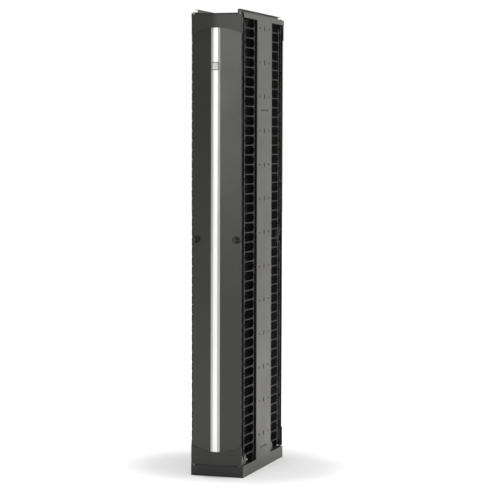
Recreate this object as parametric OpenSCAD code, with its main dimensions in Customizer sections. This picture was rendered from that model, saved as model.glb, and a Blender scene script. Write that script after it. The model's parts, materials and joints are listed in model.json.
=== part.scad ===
// Free-standing vertical cable manager, double sided, with a dual-hinged door at the front and at the rear.
// Origin: middle of the footprint, on the floor. X is the width, Y the depth (front is -Y), Z is up.

/* [Frame] */
// Width over the two side frames
frame_w = 254; // [244:1:320]
// Depth of the base and of the side frames
frame_d = 610; // [600:1:760]
// Rack units served by each finger column, a multiple of the strips in a column
rack_units = 45; // [36:3:48]
// Height of one rack unit
unit_h = 44.45; // [40:0.05:50]
// Thickness of the frame's steel sheet
sheet_t = 2; // [1.5:0.1:3]
// Height of the plinth
base_h = 51.5; // [45:0.5:80]
// Sill of the side windows above the plinth
sill_h = 2.5; // [2:0.5:10]
// Space from the sill to the first rack unit
foot_space = 27.4; // [20:0.1:60]
// Space from the last rack unit to the top bar
head_space = 22.4; // [15:0.1:60]
// Height of the top bar
top_bar_h = 22; // [18:1:40]

/* [Spine and posts] */
// Width of the spine in the middle of each side frame
spine_w = 220; // [200:1:240]
// Depth of the flanges turned in at the spine's edges
spine_return = 28; // [24:1:30]
// Distance from the spine to the seat of the front finger strips
post_d = 40; // [30:1:60]
// Depth of the flanges on the mid panel
panel_return = 20; // [12:1:30]
// Fold round each cable opening of the base, the top and the mid panel
opening_r = 18; // [8:1:30]
// Width of the cable openings in the base and top
opening_w = 170; // [120:1:176]
// Length of the cable openings in the base and top
opening_l = 170; // [120:1:190]
// Pass-through openings in the mid panel
pass_count = 6; // [4:1:6]
// Width of a pass-through opening
pass_w = 150; // [100:1:180]
// Height of a pass-through opening
pass_h = 200; // [120:1:210]

/* [Hole rows] */
// Distance between the rows of joining holes
row_pitch = 158.75; // [120:0.25:180]
// Height of the lowest row
row_start = 165; // [140:1:200]
// Distance between the outer columns of holes
row_span = 137; // [100:1:160]
// Diameter of a joining hole
hole_d = 11; // [6:0.5:13]
// Height of the slot in the middle of a row
slot_l = 23; // [16:1:30]
// Distance between the holes of a close group
group_pitch = 22; // [18:1:30]
// Heights of the close groups, counted in rows from the lowest
group_rows = [-0.4, 9.6];
// Diameter of the floor anchor holes
anchor_d = 14; // [8:1:18]
// Distance between anchor holes across the width
anchor_x = 180; // [140:1:200]
// Distance of the anchor holes from the front and rear faces
anchor_inset = 24; // [18:1:30]
// Width of the flanges on the floor
floor_flange = 44; // [36:1:60]

/* [Finger strips] */
// Length of a rear finger from its seat to its tip
rear_finger_l = 112; // [90:1:150]
// Thickness of a finger's arm
arm_t = 4.5; // [4:0.5:7]
// Thickness of the base bar that is screwed to its seat
strip_t = 5; // [4:0.5:8]
// Depth of a finger at its root
root_w = 16; // [14:1:22]
// Depth of a finger at its tip
tip_w = 9; // [6:1:14]
// Thickness of the outer web that carries the T-head
web_t = 3; // [2.5:0.5:5]
// Width of the T-head
head_w = 12; // [10:1:20]
// Gap between neighbouring T-heads
head_gap = 4; // [3:0.5:10]
// Corner radius of a T-head
head_r = 4; // [2:0.5:6]
// Length of the forked root of a front finger
fork_l = 30; // [20:1:40]
// Rise of the fork on each side of the arm
fork_h = 14; // [8:1:17]
// Width of the two ribs of the fork
fork_rib = 3.5; // [3:0.5:6]
// Length of the fillets at the root of a rear finger
fillet_l = 14; // [8:1:24]
// How far the root's curves run into the arm
root_dip = 0.3; // [0.1:0.1:0.6]
// Distance of the finger tips from the front of the frame
tip_inset = 5; // [4:1:12]

/* [Doors] */
// Half width of the door skin
door_half = 119; // [110:0.5:119]
// Thickness of the door skin
skin_t = 1.5; // [1:0.1:2]
// How far the door's edge stands in front of the frame
door_reach = 12; // [11:0.5:16]
// Slope of the two flats of the door
door_tilt = 8; // [4:0.5:12]
// Half width of the rounded ridge
ridge_half = 25; // [23:1:50]
// Gap between the open back of the door and the front of the frame
door_back = 1; // [0.5:0.5:1.5]
// Width of the lip round the open back
door_lip = 8; // [4:0.5:10]
// Gap between the base and the door
door_gap_low = 5.5; // [5:0.5:10]
// Gap between the door and the top of the frame
door_gap_top = 6; // [5:0.5:10]
// How far a cap stands proud of the skin
cap_t = 2.5; // [1.5:0.5:3]
// How far a cap reaches past the skin on each side
cap_side = 3; // [2:0.5:3]
// Height of a cap at its ends
cap_end_h = 90; // [60:1:130]
// Height of a cap at its middle
cap_mid_h = 61; // [30:1:80]
// Thickness of a cap's closed end
cap_end_t = 2; // [1.5:0.5:4]
// Width of the trim strip
trim_w = 44; // [30:1:46]
// Thickness of the trim strip
trim_t = 3.5; // [2.5:0.5:5]

/* [Latches] */
// Distance of the hinge and latch pins from the middle
pin_x = 110; // [104:0.5:110]
// How far the pins stand in front of the frame
pin_reach = 6.5; // [6:0.5:7]
// Diameter of a pin
pin_d = 6; // [4:0.5:6]
// Running clearance round pins and shafts
run_gap = 0.05; // [0.02:0.01:0.1]
// Distance of the knobs from the middle
knob_x = 97.5; // [94:0.5:98]
// Height of the knobs
knob_z = 1094; // [900:1:1300]
// Diameter of a knob
knob_d = 33; // [28:1:36]
// Height of a knob with its grip
knob_h = 15; // [12:1:20]
// Height of a knob's round foot
knob_foot = 6; // [4:0.5:9]
// Width of the grip bar across a knob
grip_w = 11; // [10:0.5:14]
// Depth of the waist on each side of the grip bar
grip_waist = 1; // [0.5:0.1:1.2]
// Diameter of the knob's shaft
shaft_d = 7; // [6:0.5:7]
// Teeth of a pinion
teeth = 12; // [12:4:16]
// Gear module
gear_m = 0.75; // [0.6:0.01:0.8]
// Pressure angle of the teeth
gear_angle = 25; // [24:0.5:26]
// Thinning of each tooth
gear_slack = 0.1; // [0.06:0.01:0.2]
// Thickness of the rods and of the rack teeth
rod_t = 4; // [3:0.5:4]
// Width of a rod
rod_w = 8; // [8:0.5:9]

/* [Brackets and rails] */
// Thickness of a hinge bracket
bracket_t = 3; // [2:0.5:3]
// Radius of a hinge bracket's round end
bracket_r = 8; // [7:0.5:9]
// Length of a hinge bracket on the frame
bracket_l = 21; // [20:1:30]
// Wall of a hinge bush
bush_wall = 2; // [1:0.5:3]
// Half of the distance between the top rails
rail_x = 97; // [95:1:99]
// Height of a top rail
rail_h = 17; // [12:1:40]
// Width of a top rail's lip
rail_lip = 12; // [8:1:14]
// Length of a foot bracket
foot_l = 77; // [50:1:80]
// Height of a foot bracket
foot_h = 45; // [30:1:80]
// Diameter of a frame screw
screw_d = 5; // [4:0.5:6]

/* [Hidden] */
$fn = 48;
eps = 0.01;

// Heights
side_x = frame_w / 2;
inner_x = side_x - sheet_t;
front_y = -frame_d / 2;
sill_z = base_h + sill_h;
units_z = sill_z + foot_space;
units_top = units_z + rack_units * unit_h;
lintel_z = units_top + head_space;
top_z = lintel_z + top_bar_h;
rows = floor((lintel_z - row_start) / row_pitch) + 1;

// Frame details
bar_inset = 9;
flange_gap = 4;
pass_step = (top_z - base_h) / pass_count;
panel_screw_z = [for (r = [0.46, 5.55]) row_start + r * row_pitch];
rail_tab_l = 40;
rail_tab_reach = 2;
rail_tab_inset = 110;
rail_tabs = [-frame_d / 2 + rail_tab_inset, 30, frame_d / 2 - rail_tab_inset];
rail_bolt_inset = 50;
rail_bolt_d = 7;

// Finger columns: each seat is the face that the strips are screwed to
strips = 3;
front_seat_y = -spine_w / 2 - post_d;
front_finger_l = front_seat_y - front_y - tip_inset;
rear_seat_y = spine_w / 2;
strip_units = rack_units / strips;
strip_h = strip_units * unit_h;
strip_gap = 0.6;
strip_screw_d = 4;
strip_screw_units = [1, floor(strip_units / 2), strip_units - 1];
strip_screw_x = side_x - web_t - (root_w - web_t) / 2;

// Brackets
foot_x = side_x - root_w - 4;
foot_front_y = front_y + bracket_l + 3;
foot_rear_y = rear_seat_y + strip_t + 10;
foot_flange = 16;
foot_slope = [17, 17];
foot_screw_x = foot_x - (foot_flange + sheet_t) / 2;
foot_screw_inset = 15;
bracket_screw_x = 4.6;
bracket_screw_y = front_y + 15;

// Door: half height, skin surface and ridge
door_z0 = base_h + door_gap_low;
door_z1 = top_z - door_gap_top;
door_mid = (door_z0 + door_z1) / 2;
skin_z0 = door_z0 + cap_end_t;
skin_z1 = door_z1 - cap_end_t;
door_y = front_y - door_reach;
back_y = front_y - door_back;
cap_half = door_half + cap_side;
cap_edge_cut = 2;
skin_edge_cut = 0.8;
ridge_r = ridge_half / sin(door_tilt);
ridge_y = door_y - (door_half - ridge_half) * tan(door_tilt);
ridge_centre = ridge_y + ridge_r * cos(door_tilt);
cap_rise = cap_end_h - cap_mid_h;
cap_arch_r = (cap_half * cap_half + cap_rise * cap_rise) / (2 * cap_rise);
trim_gap = 1.5;
trim_len = door_z1 - door_z0 - 2 * (cap_mid_h + trim_gap);
trim_groove = 2.4;
trim_groove_d = 1.2;
trim_groove_x = 13;
trim_bevel = 5;
trim_edge = 1.2;
trim_steps = 8;
seat_gap = 0.3;
stiffener_w = 60;
stiffener_foot = 14;
stiffener_gap = 1;
cut_l = 60;
overcut = 1;

// Latches: the pinion drives two racks that move apart or together
pin_y = front_y - pin_reach;
pin_r = pin_d / 2;
pitch_r = gear_m * teeth / 2;
tooth_out = 0.9 * gear_m;
tooth_in = 1.15 * gear_m;
tooth_pitch = PI * gear_m;
travel = teeth / 4 * tooth_pitch;
pinion_over = 0.5;
pinion_t = rod_t + 2 * pinion_over;
rod_gap = 0.3;
pin_rest_gap = 0.4;
bracket_low_z = base_h + bracket_t;
pin_low = bracket_low_z + pin_rest_gap - travel;
pin_high = top_z - pin_rest_gap + travel;
rod_end_inset = 45;
pin_grip = 8;
bar_x0 = pin_x - rod_w / 2;
bar_x1 = pin_x + rod_w / 2;
outer_root = knob_x + pitch_r + tooth_in;
inner_root = knob_x - pitch_r - tooth_in;
inner_leg_w = 5;
rack_first = -3;
rack_last = 6;
rack_run = 8;
rack_reach = 22;
jog_top = 30;
jog_h = 12;
bezel_d = knob_d;
bezel_min = 1.2;
bezel_y = door_y - (door_half - knob_x + bezel_d / 2) * tan(door_tilt) - bezel_min;
knob_y = bezel_y - 0.4;
knob_bore = 9;
shaft_end = 1;
cover_t = 1.5;
cover_y = back_y - cover_t;
cover_low = [knob_x - 8, -24];
cover_high = [knob_x + 10, 34];
standoffs = [[1.5, -18], [-0.5, 27]];
standoff_d = 5;
guide_h = 12;
guide_wall = 2.7;
guide_rows = [0.12, 0.36, 0.62, 0.88];

screw_gap = 0.1;
frame_dark = [0.17, 0.17, 0.16];
frame_grey = [0.27, 0.27, 0.26];
plastic_black = [0.06, 0.06, 0.06];
steel = [0.62, 0.63, 0.64];
silver = [0.82, 0.82, 0.80];

// ---------------------------------------------------------------- helpers

// A copy on +X and its mirror image on -X
module both_sides() {
  children();
  mirror([1, 0, 0]) children();
}

// The shape on the +X side, or its mirror image when side is -1
module on_side(side) {
  mirror([side < 0 ? 1 : 0, 0, 0]) children();
}

// What is built for the front, turned round for the rear
module at_end(rear) {
  rotate([0, 0, rear ? 180 : 0]) children();
}

// A flat shape drawn in (Y, Z) and given thickness t from x
module plate_x(x, t) {
  rotate([90, 0, 90]) translate([0, 0, x]) linear_extrude(t) children();
}

// A flat shape drawn in (X, Z) and given thickness t towards +Y from y
module plate_y(y, t) {
  translate([0, y + t, 0]) rotate([90, 0, 0]) linear_extrude(t) children();
}

// A flat shape drawn in (X, Y) and given height h from z
module plate_z(z, h) {
  translate([0, 0, z]) linear_extrude(h) children();
}

// A box between two corners
module block(low, high) {
  translate(low) cube(high - low);
}

// Rectangle with round corners, centred
module round_rect(w, l, r) {
  square([w - 2 * r, l], center = true);
  square([w, l - 2 * r], center = true);
  for (x = [-1, 1], y = [-1, 1]) translate([x * (w / 2 - r), y * (l / 2 - r)]) circle(r);
}

// Slot along the first axis, centred
module slot(l, w) {
  square([l - w, w], center = true);
  for (s = [-1, 1]) translate([s * (l - w) / 2, 0]) circle(d = w);
}

// Pan-head screw, its head standing on z = 0 and its shank going down
module screw(d, length) {
  head_r = d * 0.85;
  head_h = d * 0.55;
  rotate_extrude() polygon([
    [0, -length], [d / 2, -length], [d / 2, 0], [head_r, 0],
    [head_r, head_h * 0.5], [head_r * 0.75, head_h], [0, head_h]
  ]);
}

// Cut for the shank of a screw of diameter d
module through_hole(d) {
  cylinder(h = 4 * (strip_t + sheet_t), d = d + 2 * screw_gap, center = true);
}

// ---------------------------------------------------------------- frame

// Hole rows of the spine, drawn in (Y, Z)
module spine_holes() {
  for (i = [0 : rows - 1]) translate([0, row_start + i * row_pitch]) {
    for (s = [-1, 1]) translate([s * row_span / 2, 0]) circle(d = hole_d);
    rotate(90) slot(slot_l, hole_d);
  }
  for (g = group_rows, i = [-2 : 2])
    translate([i * group_pitch, row_start + g * row_pitch]) circle(d = hole_d);
}

// Side frame: spine, top bar and bottom bar folded from one sheet
module side_frame() {
  plate_x(inner_x, sheet_t) difference() {
    union() {
      translate([front_y, 0]) square([frame_d, sill_z]);
      translate([-spine_w / 2, 0]) square([spine_w, top_z]);
      translate([front_y, lintel_z]) square([frame_d, top_bar_h]);
    }
    spine_holes();
    for (z = panel_screw_z) translate([panel_return / 2, z]) circle(d = screw_d + 2 * screw_gap);
  }
  difference() {
    for (s = [-1, 1]) {
      y_out = s * spine_w / 2;
      block([side_x - spine_return, min(y_out, y_out - s * sheet_t), base_h],
            [inner_x + eps, max(y_out, y_out - s * sheet_t), top_z - sheet_t]);
    }
    strip_screw_places(rear_seat_y, 1) through_hole(strip_screw_d);
    post_screw_places() through_hole(screw_d);
  }
  block([inner_x - panel_return, front_y + floor_flange + flange_gap, 0],
        [inner_x + eps, -front_y - floor_flange - flange_gap, sheet_t]);
}

module left_side_frame() {
  color(frame_grey) on_side(-1) side_frame();
}

module right_side_frame() {
  color(frame_grey) on_side(1) side_frame();
}

// Cable openings of the base and the top, drawn in (X, Y)
module cable_openings() {
  for (s = [-1, 1]) translate([0, s * (frame_d / 4 + panel_return / 4)])
    round_rect(opening_w, opening_l, opening_r);
}

// Plinth: top plate, front and rear skirts and floor flanges
module base_pan() {
  color(frame_dark) difference() {
    union() {
      plate_z(base_h - sheet_t, sheet_t) square([2 * inner_x, frame_d], center = true);
      for (s = [0, 1]) at_end(s == 1) {
        block([-inner_x, front_y, 0], [inner_x, front_y + sheet_t, base_h]);
        block([-inner_x, front_y, 0], [inner_x, front_y + floor_flange, sheet_t]);
      }
    }
    plate_z(base_h - 2 * sheet_t, 3 * sheet_t) cable_openings();
    for (x = [-1, 1], y = [-1, 1]) translate([x * anchor_x / 2, y * (frame_d / 2 - anchor_inset), -sheet_t])
      cylinder(h = 3 * sheet_t, d = anchor_d);
    bracket_screw_places(base_h) through_hole(screw_d);
    foot_screw_places() through_hole(screw_d);
  }
}

// Top pan: plate and two cross bars, set back clear of the doors' swing
module top_pan() {
  color(frame_dark) difference() {
    union() {
      plate_z(top_z - sheet_t, sheet_t) square([2 * inner_x, frame_d], center = true);
      for (s = [0, 1]) at_end(s == 1)
        block([-inner_x, front_y + bar_inset, lintel_z], [inner_x, front_y + bar_inset + sheet_t, top_z]);
    }
    plate_z(top_z - 2 * sheet_t, 3 * sheet_t) cable_openings();
    bracket_screw_places(top_z) through_hole(screw_d);
    rail_screw_places() through_hole(screw_d);
  }
}

// Top rail: upright web with a lip, standing on short tabs
module top_rail() {
  difference() {
    union() {
      block([rail_x - sheet_t, front_y + sheet_t, top_z], [rail_x, -front_y - sheet_t, top_z + rail_h]);
      block([rail_x - sheet_t, front_y + sheet_t, top_z + rail_h - sheet_t],
            [rail_x + rail_lip, -front_y - sheet_t, top_z + rail_h]);
      for (y = rail_tabs)
        block([rail_x - sheet_t, y - rail_tab_l / 2, top_z],
              [rail_x + rail_lip + rail_tab_reach, y + rail_tab_l / 2, top_z + sheet_t]);
    }
    rail_screw_places() through_hole(screw_d);
    for (s = [-1, 1]) translate([rail_x + rail_lip / 2, s * (frame_d / 2 - rail_bolt_inset), top_z + rail_h])
      cylinder(h = 4 * sheet_t, d = rail_bolt_d, center = true);
  }
}

module rail_screw_places() {
  both_sides() for (y = rail_tabs)
    translate([rail_x + (rail_lip + rail_tab_reach) / 2, y, top_z + sheet_t]) children();
}

module left_top_rail() {
  color(frame_grey) on_side(-1) top_rail();
}

module right_top_rail() {
  color(frame_grey) on_side(1) top_rail();
}

// Mid panel: web between the spines with a column of pass-through openings
module mid_panel() {
  z0 = base_h;
  z1 = top_z - sheet_t;
  color(frame_dark) difference() {
    union() {
      difference() {
        block([-inner_x, -sheet_t / 2, z0], [inner_x, sheet_t / 2, z1]);
        for (i = [0 : pass_count - 1]) translate([0, sheet_t, base_h + (i + 0.5) * pass_step])
          rotate([90, 0, 0]) linear_extrude(2 * sheet_t) round_rect(pass_w, pass_h, opening_r);
      }
      both_sides() block([inner_x - sheet_t, -sheet_t / 2, z0], [inner_x, panel_return, z1]);
      for (z = [z0, z1 - sheet_t]) block([-inner_x, -sheet_t / 2, z], [inner_x, panel_return, z + sheet_t]);
    }
    both_sides() for (z = panel_screw_z) translate([inner_x, panel_return / 2, z])
      rotate([0, 90, 0]) through_hole(screw_d);
  }
}

// Front post: channel that stands forward of the spine and carries the front strips
module front_post() {
  z0 = base_h;
  h = top_z - sheet_t - z0;
  seat = front_seat_y;
  spine_y = -spine_w / 2;
  x_web = side_x - spine_return - sheet_t;
  difference() {
    plate_z(z0, h) {
      translate([x_web, seat]) square([sheet_t, spine_y - seat]);
      translate([x_web, seat]) square([inner_x - x_web, sheet_t]);
      translate([x_web, spine_y - sheet_t]) square([inner_x - x_web, sheet_t]);
    }
    strip_screw_places(seat, -1) through_hole(strip_screw_d);
    post_screw_places() through_hole(screw_d);
  }
}

// Screws that hold the post to the spine's front flange; the head is in the channel
module post_screw_places() {
  for (i = [1 : 2 : rows - 1])
    translate([inner_x - spine_return / 2, -spine_w / 2 - sheet_t, row_start + (i - 0.5) * row_pitch])
      rotate([90, 0, 0]) children();
}

module left_front_post() {
  color(plastic_black) on_side(-1) front_post();
}

module right_front_post() {
  color(plastic_black) on_side(1) front_post();
}

// ---------------------------------------------------------------- finger strips

// A root rib of a finger: part of a ring that bends away from the arm over length l towards the seat
module root_arc(l, rise, rib) {
  r = (l * l + rise * rise) / (2 * rise);
  translate([strip_t, 0]) intersection() {
    translate([l, arm_t / 2 + r - root_dip]) difference() {
      circle(r + rib, $fn = 96);
      circle(r, $fn = 96);
    }
    translate([-eps, -arm_t / 2]) square([l + eps, arm_t + rise]);
  }
}

// Side view of one finger of length l, drawn in (Y, Z) with the seat at 0 and the tip at +l
module finger_face(l, forked) {
  translate([0, -arm_t / 2]) square([l - head_r, arm_t]);
  for (m = [0, 1]) mirror([0, m]) {
    if (forked) root_arc(fork_l, fork_h, fork_rib);
    else root_arc(fillet_l, fillet_l / 2, fillet_l / 2);
  }
  translate([l - head_w / 2, 0]) round_rect(head_w, unit_h - head_gap, head_r);
}

// One moulded strip: base bar, blades, root ribs and T-heads; seat at y = 0, outer face at x = 0
module finger_strip(l, forked) {
  difference() {
    union() {
      block([-root_w, 0, strip_gap / 2], [0, strip_t, strip_h - strip_gap / 2]);
      for (i = [0 : strip_units - 1]) translate([0, 0, (i + 0.5) * unit_h]) {
        plate_x(-web_t, web_t) finger_face(l, forked);
        translate([0, 0, -arm_t / 2]) linear_extrude(arm_t) polygon([
          [0, 0], [-root_w, 0], [-root_w, strip_t], [-tip_w, l - head_r], [0, l - head_r]
        ]);
      }
    }
    for (u = strip_screw_units) translate([strip_screw_x - side_x, 0, u * unit_h])
      rotate([90, 0, 0]) through_hole(strip_screw_d);
  }
}

// A strip in its place: end is -1 at the front and 1 at the rear, side is -1 or 1, row counts up
module placed_strip(end, side, row) {
  front = end < 0;
  seat = front ? front_seat_y : rear_seat_y;
  color(plastic_black) on_side(side) translate([side_x, seat, units_z + row * strip_h])
    mirror([0, front ? 1 : 0, 0]) finger_strip(front ? front_finger_l : rear_finger_l, front);
}

// Screw places of a column on the +X side; the head is on the strip
module strip_screw_places(seat, end) {
  for (row = [0 : strips - 1], u = strip_screw_units)
    translate([strip_screw_x, seat + end * strip_t, units_z + row * strip_h + u * unit_h])
      rotate([end < 0 ? 90 : -90, 0, 0]) children();
}

module strip_screws() {
  color(steel) both_sides() {
    strip_screw_places(front_seat_y, -1) screw(strip_screw_d, strip_t + 2 * sheet_t);
    strip_screw_places(rear_seat_y, 1) screw(strip_screw_d, strip_t + 2 * sheet_t);
  }
}

module front_left_fingers_low() placed_strip(-1, -1, 0);
module front_left_fingers_mid() placed_strip(-1, -1, 1);
module front_left_fingers_top() placed_strip(-1, -1, 2);
module front_right_fingers_low() placed_strip(-1, 1, 0);
module front_right_fingers_mid() placed_strip(-1, 1, 1);
module front_right_fingers_top() placed_strip(-1, 1, 2);
module rear_left_fingers_low() placed_strip(1, -1, 0);
module rear_left_fingers_mid() placed_strip(1, -1, 1);
module rear_left_fingers_top() placed_strip(1, -1, 2);
module rear_right_fingers_low() placed_strip(1, 1, 0);
module rear_right_fingers_mid() placed_strip(1, 1, 1);
module rear_right_fingers_top() placed_strip(1, 1, 2);

// ---------------------------------------------------------------- brackets and screws

// Foot bracket: upright plate beside the lowest finger, with a flange on the base
module foot_bracket() {
  difference() {
    union() {
      plate_x(foot_x - sheet_t, sheet_t) polygon([
        [0, base_h], [foot_l, base_h], [foot_l, base_h + foot_h], [foot_slope.x, base_h + foot_h],
        [0, base_h + foot_h - foot_slope.y]
      ]);
      block([foot_x - foot_flange, 0, base_h], [foot_x, foot_l, base_h + sheet_t]);
    }
    for (y = [foot_screw_inset, foot_l - foot_screw_inset]) translate([foot_screw_x, y, base_h])
      through_hole(screw_d);
  }
}

module foot_places() {
  both_sides() {
    translate([0, foot_front_y, 0]) children();
    translate([0, foot_rear_y + foot_l, 0]) mirror([0, 1, 0]) children();
  }
}

module foot_screw_places() {
  foot_places() for (y = [foot_screw_inset, foot_l - foot_screw_inset])
    translate([foot_screw_x, y, base_h + sheet_t]) children();
}

module foot_brackets() {
  color([0.42, 0.42, 0.41]) foot_places() foot_bracket();
}

// Hinge bracket: flat tab with a round end and the seat of a bush
module hinge_tab(z) {
  plate_z(z, bracket_t) difference() {
    union() {
      translate([pin_x, pin_y]) circle(bracket_r);
      translate([pin_x - bracket_r, pin_y]) square([2 * bracket_r, front_y + bracket_l - pin_y]);
    }
    translate([pin_x, pin_y]) circle(pin_r + run_gap + bush_wall + run_gap);
    for (s = [-1, 1]) translate([pin_x + s * bracket_screw_x, bracket_screw_y])
      circle(d = screw_d + 2 * screw_gap);
  }
}

module bracket_screw_places(z) {
  for (e = [0, 1]) at_end(e == 1) both_sides() for (s = [-1, 1])
    translate([pin_x + s * bracket_screw_x, bracket_screw_y, z + bracket_t]) children();
}

module hinge_brackets() {
  both_sides() {
    hinge_tab(base_h);
    hinge_tab(top_z);
  }
}

module front_hinge_brackets() {
  color(frame_grey) at_end(false) hinge_brackets();
}

module rear_hinge_brackets() {
  color(frame_grey) at_end(true) hinge_brackets();
}

// Plain bushes, one in each hinge bracket
module hinge_bushes() {
  color([0.85, 0.85, 0.82]) for (e = [0, 1]) at_end(e == 1) both_sides() for (z = [base_h, top_z])
    translate([pin_x, pin_y, z]) difference() {
      cylinder(h = bracket_t, r = pin_r + run_gap + bush_wall);
      translate([0, 0, -overcut]) cylinder(h = bracket_t + 2 * overcut, r = pin_r + run_gap);
    }
}

// Screws of brackets, rails, posts and mid panel
module frame_screws() {
  color(steel) {
    bracket_screw_places(base_h) screw(screw_d, bracket_t + 2 * sheet_t);
    bracket_screw_places(top_z) screw(screw_d, bracket_t + 2 * sheet_t);
    foot_screw_places() screw(screw_d, 3 * sheet_t);
    rail_screw_places() screw(screw_d, 3 * sheet_t);
    both_sides() {
      post_screw_places() screw(screw_d, 4 * sheet_t);
      for (z = panel_screw_z) translate([inner_x - sheet_t, panel_return / 2, z])
        rotate([0, -90, 0]) screw(screw_d, 2 * sheet_t);
    }
  }
}

// ---------------------------------------------------------------- door

// Plan of the door between its face and the plane y = back: two flats that meet in a round ridge.
// grow moves the face forward, half is the half width and cut takes off the outer corners.
module door_plan(grow, half, cut, back) {
  edge_y = door_y - grow + (half - door_half) * tan(door_tilt);
  polygon([
    [-half, back], [-half, edge_y + cut], [-half + cut, edge_y - cut * tan(door_tilt)],
    [-ridge_half, ridge_y - grow], [ridge_half, ridge_y - grow],
    [half - cut, edge_y - cut * tan(door_tilt)], [half, edge_y + cut], [half, back]
  ]);
  intersection() {
    translate([0, ridge_centre - grow]) circle(ridge_r, $fn = 180);
    translate([-ridge_half, ridge_y - grow - ridge_r]) square([2 * ridge_half, ridge_r + eps]);
  }
}

// Space inside the skin, drawn in (X, Y)
module door_inside() {
  door_plan(-skin_t, door_half - skin_t, 0, back_y - skin_t);
}

// Skin: folded face, side walls, lips round the open back and closed ends
module door_skin() {
  difference() {
    plate_z(skin_z0, skin_z1 - skin_z0) door_plan(0, door_half, skin_edge_cut, back_y);
    plate_z(skin_z0 + skin_t, skin_z1 - skin_z0 - 2 * skin_t) {
      door_inside();
      translate([-door_half + door_lip, back_y - 2 * skin_t])
        square([2 * (door_half - door_lip), 4 * skin_t]);
    }
    both_sides() {
      translate([pin_x, pin_y, 0]) cylinder(h = top_z, r = pin_r + run_gap);
      translate([knob_x, front_y, knob_z]) rotate([90, 0, 0]) cylinder(h = cut_l, r = shaft_d / 2 + run_gap);
    }
  }
}

// Cap: shell over the end of the skin with an arched inner edge
module door_top_cap() {
  difference() {
    plate_z(door_z1 - cap_end_h, cap_end_h) door_plan(cap_t, cap_half, cap_edge_cut, back_y);
    plate_z(0, skin_z1) door_plan(seat_gap, door_half + seat_gap, 0, back_y + overcut);
    translate([0, back_y + overcut, door_z1 - cap_mid_h - cap_arch_r]) rotate([90, 0, 0])
      cylinder(h = cut_l, r = cap_arch_r, $fn = 360);
    both_sides() translate([pin_x, pin_y, 0]) cylinder(h = top_z, r = pin_r + rod_gap);
  }
}

module door_bottom_cap() {
  translate([0, 0, 2 * door_mid]) mirror([0, 0, 1]) door_top_cap();
}

// Y of the ridge's round face at x, moved forward by grow
function ridge_face(x, grow) = ridge_centre - sqrt(pow(ridge_r + grow, 2) - x * x);

// Outline points of the trim's right half from the middle outwards: ridge, groove, bevel and back
trim_half = concat(
  [for (i = [0.5 : trim_steps]) let (x = i * (trim_groove_x - trim_groove) / trim_steps) [x, ridge_face(x, trim_t)]],
  [
    [trim_groove_x - trim_groove, ridge_face(trim_groove_x - trim_groove, trim_t)],
    [trim_groove_x, ridge_face(trim_groove_x, trim_t - trim_groove_d)],
    [trim_groove_x + trim_groove, ridge_face(trim_groove_x + trim_groove, trim_t)],
    [trim_w / 2 - trim_bevel, ridge_face(trim_w / 2 - trim_bevel, trim_t)],
    [trim_w / 2, ridge_face(trim_w / 2, trim_edge)],
    [trim_w / 2, ridge_face(trim_w / 2, seat_gap)]
  ],
  [for (i = [trim_steps - 0.5 : -1 : 0]) let (x = i * trim_w / 2 / trim_steps) [x, ridge_face(x, seat_gap)]]
);

// Trim strip: extruded moulding that follows the ridge, with two grooves and bevelled edges
module door_trim() {
  last = len(trim_half) - 1;
  plate_z(door_mid - trim_len / 2, trim_len) polygon(concat(
    trim_half,
    [for (i = [last : -1 : 0]) [-trim_half[i].x, trim_half[i].y]]
  ));
}

// Stiffener: hat channel up the middle of the door
module door_stiffener() {
  h = skin_z1 - skin_z0 - 2 * (skin_t + stiffener_gap);
  plate_z(door_mid - h / 2, h) difference() {
    intersection() {
      door_inside();
      translate([-stiffener_w / 2 - stiffener_foot, door_y - cut_l])
        square([stiffener_w + 2 * stiffener_foot, 2 * cut_l]);
    }
    translate([-stiffener_w / 2 + skin_t, door_y - cut_l])
      square([stiffener_w - 2 * skin_t, back_y - 2 * skin_t - door_y + cut_l]);
    both_sides() intersection() {
      translate([0, skin_t]) door_inside();
      translate([stiffener_w / 2, door_y - cut_l]) square([2 * stiffener_foot, 2 * cut_l]);
    }
    both_sides() translate([stiffener_w / 2, back_y - 2 * skin_t]) square([2 * stiffener_foot, cut_l]);
  }
}

// Guides that hold the rods against the skin
module rod_guides() {
  window = [rod_w + 2 * rod_gap, rod_t + 2 * rod_gap];
  y1 = back_y - skin_t;
  both_sides() for (f = guide_rows) translate([0, 0, door_z0 + f * (door_z1 - door_z0) - guide_h / 2])
    linear_extrude(guide_h) difference() {
      intersection() {
        door_inside();
        translate([pin_x - window.x / 2 - guide_wall, door_y - cut_l])
          square([window.x + 2 * guide_wall, y1 - door_y + cut_l]);
      }
      translate([pin_x, pin_y]) square(window, center = true);
    }
}

// Latch covers: plates behind the pinions, on two standoffs each, with the shaft's rear bearing
module latch_covers() {
  both_sides() difference() {
    union() {
      plate_y(cover_y, cover_t) translate(cover_low + [0, knob_z]) square(cover_high - cover_low);
      intersection() {
        for (p = standoffs) translate([knob_x + p[0], cover_y + eps, knob_z + p[1]])
          rotate([90, 0, 0]) cylinder(h = cut_l, d = standoff_d);
        plate_z(knob_z - cut_l, 2 * cut_l) door_inside();
      }
    }
    translate([knob_x, front_y, knob_z]) rotate([90, 0, 0])
      cylinder(h = cut_l, r = shaft_d / 2 + run_gap, center = true);
  }
}

// Bezels: wedge-shaped rings that give each knob a square seat on the sloping face
module latch_bezels() {
  both_sides() difference() {
    translate([knob_x, front_y, knob_z]) rotate([90, 0, 0]) cylinder(h = front_y - bezel_y, d = bezel_d);
    plate_z(knob_z - cut_l, 2 * cut_l) door_plan(0, door_half, 0, front_y + overcut);
    translate([knob_x, front_y, knob_z]) rotate([90, 0, 0])
      cylinder(h = cut_l, r = shaft_d / 2 + rod_gap);
  }
}

// ---------------------------------------------------------------- latches

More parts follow.
